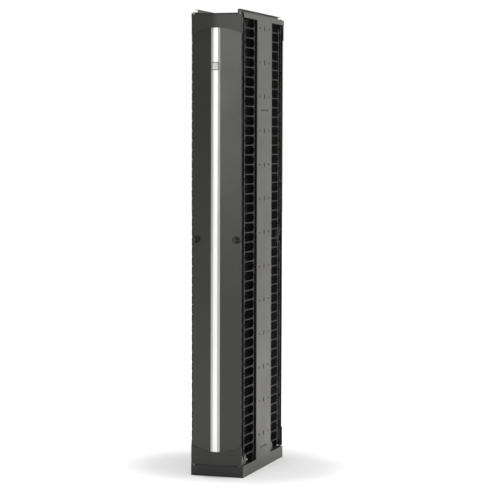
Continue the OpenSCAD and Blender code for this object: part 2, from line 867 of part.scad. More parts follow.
// Half angle of a pinion tooth at radius r, in degrees, on an involute flank
base_r = pitch_r * cos(gear_angle);
function involute(a) = tan(a) * 180 / PI - a;
function tooth_half(r) =
  (tooth_pitch / 4 - gear_slack / 2) / pitch_r * 180 / PI
  + involute(gear_angle) - involute(acos(min(1, base_r / r)));

flank_steps = 4;
root_r = pitch_r - tooth_in;
tip_r = pitch_r + tooth_out;
function flank_r(i) = i < 0 ? root_r : base_r + (tip_r - base_r) * i / flank_steps;
function flank(i, side) = let (r = flank_r(i), a = side * tooth_half(max(r, base_r))) [r * cos(a), r * sin(a)];

module pinion_teeth() {
  circle(root_r + eps);
  for (k = [0 : teeth - 1]) rotate(k * 360 / teeth) polygon(concat(
    [[0, 0]],
    [for (i = [-1 : flank_steps]) flank(i, -1)],
    [for (i = [flank_steps : -1 : -1]) flank(i, 1)]
  ));
}

// Pinion on its shaft; the shaft's front end sits in the knob
module pinion() {
  front = knob_y - knob_bore + shaft_end;
  rear = cover_y + cover_t + shaft_end;
  translate([knob_x, rear, knob_z]) rotate([90, 0, 0]) cylinder(h = rear - front, d = shaft_d);
  translate([knob_x, pin_y + pinion_t / 2, knob_z]) rotate([90, 0, 0]) linear_extrude(pinion_t) pinion_teeth();
}

// Knob: dished round foot with a waisted grip bar across it
module knob() {
  rim = 1.2;
  wall = 2.2;
  dish = 2.6;
  waist_r = knob_d * 0.9;
  difference() {
    translate([knob_x, knob_y, knob_z]) rotate([90, 0, 0]) {
      rotate_extrude($fn = 64) polygon([
        [0, 0], [knob_d / 2 - rim / 2, 0], [knob_d / 2, rim / 2], [knob_d / 2, knob_foot - rim],
        [knob_d / 2 - rim, knob_foot], [knob_d / 2 - wall, knob_foot],
        [knob_d / 2 - wall - rim, knob_foot - dish], [0, knob_foot - dish]
      ]);
      intersection() {
        linear_extrude(knob_h) difference() {
          square([grip_w, knob_d], center = true);
          for (s = [-1, 1]) translate([s * (grip_w / 2 - grip_waist + waist_r), 0]) circle(waist_r, $fn = 64);
        }
        rotate_extrude($fn = 64) polygon([
          [0, 0], [knob_d / 2 - rim, 0], [knob_d / 2 - rim, knob_foot], [knob_d / 2 - 3 * rim, knob_h - rim],
          [knob_d / 2 - 4 * rim, knob_h], [0, knob_h]
        ]);
      }
    }
    translate([knob_x, knob_y + overcut, knob_z]) rotate([90, 0, 0])
      cylinder(h = knob_bore + overcut, r = shaft_d / 2 + run_gap);
  }
}

// Rack teeth along Z that point to -X from the pitch line at x = 0, spaces centred on z = 0
module rack_teeth() {
  half = tooth_pitch / 4 - gear_slack / 2;
  lean = tan(gear_angle);
  for (k = [rack_first : rack_last]) translate([0, (k + 0.5) * tooth_pitch]) polygon([
    [tooth_in + eps, -half - tooth_in * lean], [-tooth_out, -half + tooth_out * lean],
    [-tooth_out, half - tooth_out * lean], [tooth_in + eps, half + tooth_in * lean]
  ]);
}

// Upper rod: outer rack, flat bar and pin, in the locked position
module upper_rod() {
  end_z = door_z1 - rod_end_inset;
  plate_y(pin_y - rod_t / 2, rod_t) {
    translate([outer_root, knob_z - rack_run]) square([bar_x1 - outer_root, rack_run + rack_reach]);
    translate([bar_x0, knob_z]) square([rod_w, end_z - knob_z]);
    translate([knob_x + pitch_r, knob_z]) rack_teeth();
  }
  translate([pin_x, pin_y, end_z - pin_grip]) cylinder(h = pin_high - end_z + pin_grip, d = pin_d);
}

// Lower rod: inner rack, jog, flat bar and pin, in the locked position
module lower_rod() {
  end_z = door_z0 + rod_end_inset;
  plate_y(pin_y - rod_t / 2, rod_t) {
    translate([inner_root - inner_leg_w, knob_z - jog_top - overcut])
      square([inner_leg_w, jog_top + rack_run + overcut]);
    translate([inner_root - inner_leg_w, knob_z - jog_top - jog_h])
      square([bar_x1 - inner_root + inner_leg_w, jog_h]);
    translate([bar_x0, end_z]) square([rod_w, knob_z - jog_top - end_z]);
    translate([knob_x - pitch_r, knob_z]) mirror([1, 0]) mirror([0, 1]) rack_teeth();
  }
  translate([pin_x, pin_y, pin_low]) cylinder(h = end_z + pin_grip - pin_low, d = pin_d);
}

// At rest the pins on the front door's -X side are locked and are its hinge; those on +X are drawn
function drawn(side) = side < 0 ? 0 : travel;

module placed_upper_rod(side) {
  color(steel) on_side(side) translate([0, 0, -drawn(side)]) upper_rod();
}

module placed_lower_rod(side) {
  color(steel) on_side(side) translate([0, 0, drawn(side)]) lower_rod();
}

// ---------------------------------------------------------------- nodes of the doors

module front_door_skin() { color(frame_dark) door_skin(); }
module front_door_top_cap() { color(frame_dark) door_top_cap(); }
module front_door_bottom_cap() { color(frame_dark) door_bottom_cap(); }
module front_door_trim() { color(silver) door_trim(); }
module front_door_stiffener() { color(frame_dark) door_stiffener(); }
module front_rod_guides() { color(plastic_black) rod_guides(); }
module front_latch_covers() { color(steel) latch_covers(); }
module front_latch_bezels() { color(plastic_black) latch_bezels(); }
module front_left_knob() { color(plastic_black) on_side(-1) knob(); }
module front_right_knob() { color(plastic_black) on_side(1) knob(); }
module front_left_pinion() { color(steel) on_side(-1) pinion(); }
module front_right_pinion() { color(steel) on_side(1) pinion(); }
module front_left_upper_rod() placed_upper_rod(-1);
module front_left_lower_rod() placed_lower_rod(-1);
module front_right_upper_rod() placed_upper_rod(1);
module front_right_lower_rod() placed_lower_rod(1);

module rear_door_skin() { color(frame_dark) at_end(true) door_skin(); }
module rear_door_top_cap() { color(frame_dark) at_end(true) door_top_cap(); }
module rear_door_bottom_cap() { color(frame_dark) at_end(true) door_bottom_cap(); }
module rear_door_trim() { color(silver) at_end(true) door_trim(); }
module rear_door_stiffener() { color(frame_dark) at_end(true) door_stiffener(); }
module rear_rod_guides() { color(plastic_black) at_end(true) rod_guides(); }
module rear_latch_covers() { color(steel) at_end(true) latch_covers(); }
module rear_latch_bezels() { color(plastic_black) at_end(true) latch_bezels(); }
module rear_left_knob() { color(plastic_black) at_end(true) on_side(1) knob(); }
module rear_right_knob() { color(plastic_black) at_end(true) on_side(-1) knob(); }
module rear_left_pinion() { color(steel) at_end(true) on_side(1) pinion(); }
module rear_right_pinion() { color(steel) at_end(true) on_side(-1) pinion(); }
module rear_left_upper_rod() at_end(true) placed_upper_rod(1);
module rear_left_lower_rod() at_end(true) placed_lower_rod(1);
module rear_right_upper_rod() at_end(true) placed_upper_rod(-1);
module rear_right_lower_rod() at_end(true) placed_lower_rod(-1);

base_pan();
left_side_frame();
right_side_frame();
top_pan();
left_top_rail();
right_top_rail();
mid_panel();
left_front_post();
right_front_post();
front_left_fingers_low();
front_left_fingers_mid();
front_left_fingers_top();
front_right_fingers_low();
front_right_fingers_mid();
front_right_fingers_top();
rear_left_fingers_low();
rear_left_fingers_mid();
rear_left_fingers_top();
rear_right_fingers_low();
rear_right_fingers_mid();
rear_right_fingers_top();
foot_brackets();
frame_screws();
strip_screws();
front_hinge_brackets();
rear_hinge_brackets();
hinge_bushes();
front_door_skin();
front_door_top_cap();
front_door_bottom_cap();
front_door_trim();
front_door_stiffener();
front_rod_guides();
front_latch_covers();
front_latch_bezels();
front_left_knob();
front_right_knob();
front_left_pinion();
front_right_pinion();
front_left_upper_rod();
front_left_lower_rod();
front_right_upper_rod();
front_right_lower_rod();
rear_door_skin();
rear_door_top_cap();
rear_door_bottom_cap();
rear_door_trim();
rear_door_stiffener();
rear_rod_guides();
rear_latch_covers();
rear_latch_bezels();
rear_left_knob();
rear_right_knob();
rear_left_pinion();
rear_right_pinion();
rear_left_upper_rod();
rear_left_lower_rod();
rear_right_upper_rod();
rear_right_lower_rod();
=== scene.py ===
"""Finishes, small fittings, camera and studio for the double-sided vertical cable manager."""
import json
import math

import bmesh
import bpy
from mathutils import Matrix, Vector

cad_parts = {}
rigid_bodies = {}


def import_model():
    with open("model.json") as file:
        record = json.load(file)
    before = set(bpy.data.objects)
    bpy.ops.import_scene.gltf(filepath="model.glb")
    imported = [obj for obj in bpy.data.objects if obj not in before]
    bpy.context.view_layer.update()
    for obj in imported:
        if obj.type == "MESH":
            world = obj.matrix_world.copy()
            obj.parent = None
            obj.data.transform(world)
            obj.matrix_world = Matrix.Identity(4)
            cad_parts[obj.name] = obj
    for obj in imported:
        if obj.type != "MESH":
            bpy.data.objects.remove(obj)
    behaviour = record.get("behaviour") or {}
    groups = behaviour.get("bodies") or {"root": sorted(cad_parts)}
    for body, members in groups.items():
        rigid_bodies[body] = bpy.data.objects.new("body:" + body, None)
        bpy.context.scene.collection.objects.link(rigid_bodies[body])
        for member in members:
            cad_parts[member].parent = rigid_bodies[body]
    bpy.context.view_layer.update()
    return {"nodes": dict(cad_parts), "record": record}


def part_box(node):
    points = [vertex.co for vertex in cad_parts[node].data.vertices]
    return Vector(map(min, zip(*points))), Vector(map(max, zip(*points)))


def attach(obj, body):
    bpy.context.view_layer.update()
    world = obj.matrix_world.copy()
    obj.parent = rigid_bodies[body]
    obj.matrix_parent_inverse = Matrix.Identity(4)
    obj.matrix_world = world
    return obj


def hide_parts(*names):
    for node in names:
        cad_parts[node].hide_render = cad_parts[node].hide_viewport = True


MM = 0.001

# Studio levels: what the gloss finds in front, the even fill, and how the floor turns white with distance
FRONT_GLOSS = 0.05
FILL = 0.3
FLOOR_LIFT = 0.22
FLOOR_NEAR = 0.4
FLOOR_FAR = 1.1

# Camera: its place in metres, its turns in degrees, its lens and sensor in millimetres
CAMERA_PLACE = (2.7557, -8.217, 1.5436)
CAMERA_YAW = 18.18
CAMERA_PITCH = 3.391
CAMERA_ROLL = 0.156
CAMERA_LENS = 131.97
CAMERA_SENSOR = 36.0

# Lamps: name, place, point they face, width, height, power
LAMPS = (
    ("front_box", (-0.45, -5.2, 2.6), (0.0, 0.0, 1.7), 1.7, 2.8, 84),
    ("top_box", (0.4, -0.4, 5.0), (0.0, 0.0, 1.0), 3.0, 3.0, 110),
    ("left_box", (-4.5, 1.5, 2.8), (0.0, 0.0, 1.0), 2.0, 2.5, 70),
    ("right_box", (5.0, 0.5, 2.2), (0.0, 0.0, 1.2), 2.5, 3.0, 66),
)

# Height of the middle of the badge, and the shank diameters of the two kinds of screw
BADGE_Z = 1.884
FRAME_SCREW_D = 5 * MM
STRIP_SCREW_D = 4 * MM


# ---------------------------------------------------------------- shared shader groups

def new_group(name, inputs, outputs):
    """An empty shader group with its sockets; returns the tree with its two end nodes."""
    tree = bpy.data.node_groups.new(name, "ShaderNodeTree")
    for kind, label, value in inputs:
        socket = tree.interface.new_socket(name=label, in_out="INPUT", socket_type=kind)
        if value is not None:
            socket.default_value = value
    for kind, label in outputs:
        tree.interface.new_socket(name=label, in_out="OUTPUT", socket_type=kind)
    return tree, tree.nodes.new("NodeGroupInput"), tree.nodes.new("NodeGroupOutput")


def math_node(tree, operation, a, b=None, clamp=False):
    """A Math node whose inputs are sockets or plain numbers; returns its output."""
    node = tree.nodes.new("ShaderNodeMath")
    node.operation = operation
    node.use_clamp = clamp
    for place, value in enumerate((a, b)):
        if value is None:
            continue
        if isinstance(value, (int, float)):
            node.inputs[place].default_value = value
        else:
            tree.links.new(value, node.inputs[place])
    return node.outputs[0]


def noise(tree, vector, scale, detail=2.0, roughness=0.5):
    """A Noise texture; scale is a number or a socket."""
    node = tree.nodes.new("ShaderNodeTexNoise")
    node.inputs["Detail"].default_value = detail
    node.inputs["Roughness"].default_value = roughness
    tree.links.new(vector, node.inputs["Vector"])
    if isinstance(scale, (int, float)):
        node.inputs["Scale"].default_value = scale
    else:
        tree.links.new(scale, node.inputs["Scale"])
    return node.outputs["Fac"]


def remap(tree, value, low, high, to_low=0.0, to_high=1.0):
    """A clamped Map Range."""
    node = tree.nodes.new("ShaderNodeMapRange")
    tree.links.new(value, node.inputs["Value"])
    for label, number in (("From Min", low), ("From Max", high),
                          ("To Min", to_low), ("To Max", to_high)):
        node.inputs[label].default_value = number
    return node.outputs["Result"]


def grain_group():
    """Fine skin of powder coat or moulded plastic, and a broad, faint change of tone."""
    tree, start, end = new_group(
        "fine_grain",
        [("NodeSocketVector", "Position", None), ("NodeSocketFloat", "Grain size", 1200.0),
         ("NodeSocketFloat", "Blotch size", 5.0)],
        [("NodeSocketFloat", "Height"), ("NodeSocketFloat", "Tone")])
    fine = noise(tree, start.outputs["Position"], start.outputs["Grain size"], 3.0, 0.6)
    broad = noise(tree, start.outputs["Position"], start.outputs["Blotch size"], 4.0, 0.55)
    tree.links.new(fine, end.inputs["Height"])
    tree.links.new(remap(tree, broad, 0.3, 0.7), end.inputs["Tone"])
    return tree


def edge_group():
    """Where the coat is rubbed thin: along sharp edges, broken up by noise."""
    tree, start, end = new_group(
        "edge_wear",
        [("NodeSocketVector", "Position", None), ("NodeSocketFloat", "Radius", 0.0012),
         ("NodeSocketFloat", "Amount", 0.5)],
        [("NodeSocketFloat", "Mask"), ("NodeSocketVector", "Normal")])
    bevel = tree.nodes.new("ShaderNodeBevel")
    bevel.samples = 4
    tree.links.new(start.outputs["Radius"], bevel.inputs["Radius"])
    face = tree.nodes.new("ShaderNodeNewGeometry")
    dot = tree.nodes.new("ShaderNodeVectorMath")
    dot.operation = "DOT_PRODUCT"
    tree.links.new(bevel.outputs["Normal"], dot.inputs[0])
    tree.links.new(face.outputs["Normal"], dot.inputs[1])
    turned = math_node(tree, "SUBTRACT", 1.0, dot.outputs["Value"], clamp=True)
    sharp = remap(tree, turned, 0.02, 0.25)
    patchy = remap(tree, noise(tree, start.outputs["Position"], 60.0, 4.0, 0.65), 0.35, 0.7)
    worn = math_node(tree, "MULTIPLY", sharp, patchy)
    mask = math_node(tree, "MULTIPLY", worn, start.outputs["Amount"], clamp=True)
    tree.links.new(mask, end.inputs["Mask"])
    tree.links.new(bevel.outputs["Normal"], end.inputs["Normal"])
    return tree


def dust_group():
    """A thin film of dust on what faces up."""
    tree, start, end = new_group(
        "settled_dust",
        [("NodeSocketVector", "Position", None), ("NodeSocketFloat", "Amount", 0.2)],
        [("NodeSocketFloat", "Mask")])
    face = tree.nodes.new("ShaderNodeNewGeometry")
    parts = tree.nodes.new("ShaderNodeSeparateXYZ")
    tree.links.new(face.outputs["Normal"], parts.inputs[0])
    up = remap(tree, parts.outputs["Z"], 0.6, 1.0)
    cloudy = remap(tree, noise(tree, start.outputs["Position"], 18.0, 5.0, 0.6), 0.3, 0.75, 0.35, 1.0)
    film = math_node(tree, "MULTIPLY", up, cloudy)
    mask = math_node(tree, "MULTIPLY", film, start.outputs["Amount"], clamp=True)
    tree.links.new(mask, end.inputs["Mask"])
    return tree


def drawn_group():
    """Fine lines along Z, as on drawn bar and extruded strip."""
    tree, start, end = new_group(
        "drawn_lines",
        [("NodeSocketVector", "Position", None), ("NodeSocketFloat", "Line size", 900.0)],
        [("NodeSocketFloat", "Lines")])
    squeeze = tree.nodes.new("ShaderNodeMapping")
    squeeze.inputs["Scale"].default_value = (1.0, 1.0, 0.01)
    tree.links.new(start.outputs["Position"], squeeze.inputs["Vector"])
    lines = noise(tree, squeeze.outputs["Vector"], start.outputs["Line size"], 3.0, 0.6)
    tree.links.new(lines, end.inputs["Lines"])
    return tree


# ---------------------------------------------------------------- materials

class Finish:
    """A material under construction: its tree, its shader and the piece's own coordinates."""

    def __init__(self, name, groups):
        self.material = bpy.data.materials.new(name)
        self.material.use_nodes = True
        self.groups = groups
        self.tree = self.material.node_tree
        self.shader = self.tree.nodes["Principled BSDF"]
        self.position = self.tree.nodes.new("ShaderNodeTexCoord").outputs["Object"]

    def use(self, group, **values):
        """Places a shared group and sets its inputs; underscores stand for spaces."""
        node = self.tree.nodes.new("ShaderNodeGroup")
        node.node_tree = self.groups[group]
        self.tree.links.new(self.position, node.inputs["Position"])
        for label, value in values.items():
            node.inputs[label.replace("_", " ")].default_value = value
        return node.outputs

    def blend(self, factor, low, high):
        """A colour that goes from low to high; each is a colour or a socket."""
        node = self.tree.nodes.new("ShaderNodeMix")
        node.data_type = "RGBA"
        self.tree.links.new(factor, node.inputs["Factor"])
        for label, value in (("A", low), ("B", high)):
            socket = [s for s in node.inputs if s.name == label and s.type == "RGBA"][0]
            if isinstance(value, (tuple, list)):
                socket.default_value = (*value, 1.0)
            else:
                self.tree.links.new(value, socket)
        return [s for s in node.outputs if s.type == "RGBA"][0]

    def colour(self, socket):
        self.tree.links.new(socket, self.shader.inputs["Base Color"])

    def rough(self, value, low, high):
        roughness = remap(self.tree, value, 0.0, 1.0, low, high)
        self.tree.links.new(roughness, self.shader.inputs["Roughness"])

    def bump(self, height, strength, distance, normal=None):
        node = self.tree.nodes.new("ShaderNodeBump")
        node.inputs["Strength"].default_value = strength
        node.inputs["Distance"].default_value = distance
        self.tree.links.new(height, node.inputs["Height"])
        if normal is not None:
            self.tree.links.new(normal, node.inputs["Normal"])
        self.tree.links.new(node.outputs["Normal"], self.shader.inputs["Normal"])


def powder_coat(name, groups, dark, light, rough=(0.34, 0.5), wear=0.3, dust=0.1, level=0.5):
    """Baked powder coat on sheet steel."""
    paint = Finish(name, groups)
    grain = paint.use("fine_grain", Grain_size=900.0, Blotch_size=3.0)
    edge = paint.use("edge_wear", Radius=0.0012, Amount=wear)
    film = paint.use("settled_dust", Amount=dust)
    coat = paint.blend(grain["Tone"], dark, light)
    rubbed = paint.blend(edge["Mask"], coat, tuple(2.2 * c + 0.02 for c in light))
    paint.colour(paint.blend(film["Mask"], rubbed, (0.3, 0.29, 0.27)))
    paint.rough(grain["Tone"], *rough)
    paint.bump(grain["Height"], 0.25, 0.00025, edge["Normal"])
    paint.shader.inputs["Specular IOR Level"].default_value = level
    return paint.material


def moulded(name, groups, dark, light, rough=(0.42, 0.58), wear=0.2, dust=0.06, level=0.4):
    """Moulded plastic with a fine spark-eroded skin."""
    plastic = Finish(name, groups)
    grain = plastic.use("fine_grain", Grain_size=1500.0, Blotch_size=9.0)
    edge = plastic.use("edge_wear", Radius=0.0008, Amount=wear)
    film = plastic.use("settled_dust", Amount=dust)
    body = plastic.blend(grain["Tone"], dark, light)
    scuffed = plastic.blend(edge["Mask"], body, tuple(2.5 * c + 0.02 for c in light))
    plastic.colour(plastic.blend(film["Mask"], scuffed, (0.28, 0.27, 0.26)))
    plastic.rough(grain["Tone"], *rough)
    plastic.bump(grain["Height"], 0.2, 0.00015, edge["Normal"])
    plastic.shader.inputs["Specular IOR Level"].default_value = level
    return plastic.material


def plated(name, groups, dark, light, rough=(0.28, 0.42)):
    """Plated steel with drawing lines."""
    metal = Finish(name, groups)
    drawn = metal.use("drawn_lines", Line_size=900.0)
    grain = metal.use("fine_grain", Grain_size=400.0, Blotch_size=40.0)
    metal.colour(metal.blend(grain["Tone"], dark, light))
    metal.rough(drawn["Lines"], *rough)
    metal.bump(drawn["Lines"], 0.15, 0.0001)
    metal.shader.inputs["Metallic"].default_value = 1.0
    return metal.material


def satin_trim(name, groups, unshaded_half_width, shade_fade_width):
    """Satin silver anodised extrusion, light silver in the middle; its sides are coloured darker as painted
    shade of the rounded profile's edges.
    """
    metal = Finish(name, groups)
    drawn = metal.use("drawn_lines", Line_size=700.0)
    edge = metal.use("edge_wear", Radius=0.0006, Amount=0.3)
    bright = metal.blend(drawn["Lines"], (0.90, 0.90, 0.88), (0.97, 0.97, 0.95))
    # Darker silver for the sides: painted shade, not a duller finish.
    painted_shade_tone = metal.blend(drawn["Lines"], (0.46, 0.46, 0.45), (0.54, 0.54, 0.53))
    parts = metal.tree.nodes.new("ShaderNodeSeparateXYZ")
    metal.tree.links.new(metal.position, parts.inputs[0])
    aside = math_node(metal.tree, "ABSOLUTE", parts.outputs["X"])
    # Mask of the painted shade: darker away from the middle of the strip, standing in for its shaded sides.
    painted_shade_mask = remap(metal.tree, aside, unshaded_half_width, unshaded_half_width + shade_fade_width)
    metal.colour(metal.blend(painted_shade_mask, bright, painted_shade_tone))
    metal.rough(drawn["Lines"], 0.26, 0.4)
    metal.bump(drawn["Lines"], 0.12, 0.0001, edge["Normal"])
    metal.shader.inputs["Metallic"].default_value = 0.35
    return metal.material


def make_finishes():
    groups = {"fine_grain": grain_group(), "edge_wear": edge_group(),
              "settled_dust": dust_group(), "drawn_lines": drawn_group()}
    return {
        "finger_plastic": moulded(
            "black_finger_plastic", groups, (0.006, 0.006, 0.0065), (0.011, 0.011, 0.012), level=0.14),
        "frame_black": powder_coat(
            "black_coat", groups, (0.010, 0.010, 0.010), (0.014, 0.014, 0.014), level=0.45),
        # Same charcoal paint as the door, coloured lighter: painted light standing in for the strong light on
        # the right side.
        "spine_grey": powder_coat(
            "charcoal_coat_painted_light", groups, (0.047, 0.046, 0.036), (0.059, 0.057, 0.046)),
        "bracket_grey": powder_coat(
            "bracket_coat", groups, (0.13, 0.13, 0.125), (0.16, 0.16, 0.155)),
        "zinc_screws": plated(
            "black_screw_plate", groups, (0.03, 0.03, 0.03), (0.06, 0.06, 0.06)),
        "bush_plastic": moulded(
            "natural_acetal", groups, (0.5, 0.49, 0.46), (0.58, 0.57, 0.54), wear=0.05),
        "door_grey": powder_coat(
            "door_coat", groups, (0.015, 0.015, 0.0115), (0.020, 0.020, 0.016), rough=(0.3, 0.38)),
        "cap_grey": powder_coat(
            "cap_coat", groups, (0.011, 0.011, 0.009), (0.015, 0.015, 0.0125), rough=(0.4, 0.5)),
        # Trim strip: light silver 9 mm either side of centre, then painted shade fading in over 3 mm towards
        # its edges.
        "trim_silver": satin_trim("satin_silver_strip", groups, 9 * MM, 3 * MM),
        "guide_plastic": moulded(
            "black_nylon", groups, (0.008, 0.008, 0.008), (0.014, 0.014, 0.014)),
        "latch_steel": plated(
            "plated_latch_steel", groups, (0.42, 0.42, 0.42), (0.55, 0.55, 0.54)),
        "knob_plastic": moulded(
            "black_knob_plastic", groups, (0.006, 0.006, 0.006), (0.010, 0.010, 0.010), rough=(0.3, 0.42)),
        "rod_steel": plated(
            "plated_rod_steel", groups, (0.42, 0.42, 0.42), (0.55, 0.55, 0.54)),
        "badge_plate": powder_coat(
            "pale_badge_face", groups, (0.68, 0.68, 0.66), (0.76, 0.76, 0.74), dust=0.0),
        "badge_rim": moulded(
            "dark_badge_rim", groups, (0.02, 0.02, 0.02), (0.035, 0.035, 0.035)),
    }


def dress_nodes(frame, finishes):
    """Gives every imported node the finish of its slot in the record."""
    for part in frame["record"]["subparts"]:
        node = frame["nodes"][part["node"]]
        node.data.materials.clear()
        node.data.materials.append(finishes[part["material_slot"]])


# ---------------------------------------------------------------- modelling helpers

def deselect():
    if bpy.context.mode != "OBJECT":
        bpy.ops.object.mode_set(mode="OBJECT")
    bpy.ops.object.select_all(action="DESELECT")


def take(piece):
    """Makes piece the only selected and active object."""
    deselect()
    piece.select_set(True)
    bpy.context.view_layer.objects.active = piece
    return piece


def pick(piece, test, kind="FACE"):
    """In edit mode, selects just the faces or edges that pass the test."""
    bpy.ops.mesh.select_mode(type=kind)
    bpy.ops.mesh.select_all(action="DESELECT")
    mesh = bmesh.from_edit_mesh(piece.data)
    for item in mesh.faces if kind == "FACE" else mesh.edges:
        if test(item):
            item.select_set(True)
    mesh.select_flush_mode()
    bmesh.update_edit_mesh(piece.data)


def settle(piece, name, finish):
    """Object mode, place applied to the mesh, doubles merged, normals outward, finish set."""
    take(piece)
    bpy.ops.object.transform_apply(location=True, rotation=True, scale=True)
    bpy.ops.object.mode_set(mode="EDIT")
    bpy.ops.mesh.select_all(action="SELECT")
    bpy.ops.mesh.remove_doubles(threshold=1e-6)
    bpy.ops.mesh.normals_make_consistent(inside=False)
    bpy.ops.object.mode_set(mode="OBJECT")
    piece.name = name
    piece.data.materials.clear()
    piece.data.materials.append(finish)
    return piece


def round_edges(piece, width, segments=2, angle=math.radians(40)):
    """An applied Bevel modifier on the sharp edges."""
    take(piece)
    bevel = piece.modifiers.new("soft_edges", "BEVEL")
    bevel.width = width
    bevel.segments = segments
    bevel.limit_method = "ANGLE"
    bevel.angle_limit = angle
    bpy.ops.object.modifier_apply(modifier=bevel.name)


def smooth(piece, angle=math.radians(35)):
    take(piece)
    bpy.ops.object.shade_smooth_by_angle(angle=angle)


def place_mesh(piece, matrix):
    """Moves the mesh itself, so that the object stays at the origin."""
    piece.data.transform(matrix)
    piece.data.update()


# ---------------------------------------------------------------- small fittings

def pan_screw(diameter, length, finish):
    """Pan-head screw with a cross recess; the head's seat is at z = 0."""
    head_r, head_h = 0.85 * diameter, 0.55 * diameter
    deselect()
    bpy.ops.mesh.primitive_cylinder_add(vertices=20, radius=head_r, depth=head_h,
                                        location=(0, 0, head_h / 2))
    head = take(bpy.context.object)
    bpy.ops.object.transform_apply(location=True, rotation=False, scale=False)
    bpy.ops.object.mode_set(mode="EDIT")
    pick(head, lambda f: f.normal.z > 0.9)
    bpy.ops.mesh.inset(thickness=head_r * 0.28, depth=0)
    pick(head, lambda f: f.normal.z < -0.9)
    bpy.ops.mesh.inset(thickness=head_r - diameter / 2, depth=0)
    bpy.ops.mesh.extrude_region_move(TRANSFORM_OT_translate={"value": (0, 0, -length)})
    bpy.ops.object.mode_set(mode="OBJECT")
    round_edges(head, head_h * 0.35, 3, math.radians(60))
    for turn in (0, 90):
        deselect()
        bpy.ops.mesh.primitive_cube_add(size=1, location=(0, 0, head_h),
                                        rotation=(0, 0, math.radians(turn)),
                                        scale=(head_r, head_r * 0.26, head_h * 1.1))
        blade = take(bpy.context.object)
        bpy.ops.object.transform_apply(location=True, rotation=True, scale=True)
        take(head)
        cut = head.modifiers.new("recess", "BOOLEAN")
        cut.operation = "DIFFERENCE"
        cut.solver = "EXACT"
        cut.object = blade
        bpy.ops.object.modifier_apply(modifier=cut.name)
        bpy.data.objects.remove(blade)
    settle(head, "screw_pattern", finish)
    smooth(head)
    return head


def screw_seats(node):
    """For each screw of a node: the place of the head's seat, its direction, the shank's length."""
    mesh = bmesh.new()
    mesh.from_mesh(node.data)
    bmesh.ops.remove_doubles(mesh, verts=mesh.verts, dist=1e-6)
    left = set(mesh.verts)
    seats = []
    while left:
        island, front = set(), [left.pop()]
        while front:
            vertex = front.pop()
            island.add(vertex)
            for edge in vertex.link_edges:
                other = edge.other_vert(vertex)
                if other in left:
                    left.discard(other)
                    front.append(other)
        low = Vector([min(v.co[i] for v in island) for i in range(3)])
        high = Vector([max(v.co[i] for v in island) for i in range(3)])
        size, centre = high - low, (low + high) / 2
        axis = min(range(3), key=lambda i: abs(size[(i + 1) % 3] - size[(i + 2) % 3]))
        flat = [i for i in range(3) if i != axis]
        reach = max(size[i] for i in flat) / 2
        wide = [v.co[axis] for v in island
                if math.hypot(*(v.co[i] - centre[i] for i in flat)) > 0.97 * reach]
        head_end = high[axis] if abs(max(wide) - high[axis]) < abs(min(wide) - low[axis]) else low[axis]
        seat = max(wide, key=lambda value: abs(value - head_end))
        place = centre.copy()
        place[axis] = seat
        direction = Vector((0, 0, 0))
        direction[axis] = 1.0 if head_end > seat else -1.0
        seats.append((place, direction, size[axis] - abs(head_end - seat)))
    mesh.free()
    return seats


def set_of_screws(name, node_name, frame, diameter, finish):
    """All the screws of one node, each a copy of one pattern of its own length."""
    patterns = {}
    made = []
    for count, (place, direction, length) in enumerate(screw_seats(frame["nodes"][node_name])):
        key = round(length * 2000)
        if key not in patterns:
            patterns[key] = pan_screw(diameter, length, finish)
        copy = patterns[key].copy()
        copy.data = patterns[key].data.copy()
        bpy.context.scene.collection.objects.link(copy)
        turn = Matrix.Rotation(math.radians(23 * count), 4, "Z")
        aim = direction.to_track_quat("Z", "Y").to_matrix().to_4x4()
        place_mesh(copy, Matrix.Translation(place) @ aim @ turn)
        made.append(copy)
    for pattern in patterns.values():
        bpy.data.objects.remove(pattern)
    deselect()
    for piece in made:
        piece.select_set(True)
    bpy.context.view_layer.objects.active = made[0]
    bpy.ops.object.join()
    screws = bpy.context.object
    screws.name = name
    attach(screws, "frame")
    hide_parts(node_name)


def base_lip(end, finishes):
    """Folded lip on the base behind a door's lower end, which closes the view under the door."""
    low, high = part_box("base_pan")
    sheet, length, depth, rise, inset = 2 * MM, 200 * MM, 10 * MM, 12 * MM, 9 * MM
    front = -1 if end == "front" else 1
    face = high.y - inset
    deselect()
    bpy.ops.mesh.primitive_cube_add(size=1, location=(0, face - depth / 2, high.z + sheet / 2),
                                    scale=(length, depth, sheet))
    lip = take(bpy.context.object)
    bpy.ops.object.transform_apply(location=True, rotation=True, scale=True)
    bpy.ops.object.mode_set(mode="EDIT")
    bpy.ops.mesh.select_all(action="SELECT")
    bpy.ops.mesh.bisect(plane_co=(0, face - sheet, 0), plane_no=(0, 1, 0))
    pick(lip, lambda f: f.normal.z > 0.9 and f.calc_center_median().y > face - sheet)
    bpy.ops.mesh.extrude_region_move(TRANSFORM_OT_translate={"value": (0, 0, rise - sheet)})
    bpy.ops.object.mode_set(mode="OBJECT")
    settle(lip, f"{end}_base_lip", finishes["frame_black"])
    round_edges(lip, 0.3 * MM)
    if front < 0:
        place_mesh(lip, Matrix.Rotation(math.pi, 4, "Z"))
    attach(lip, "frame")


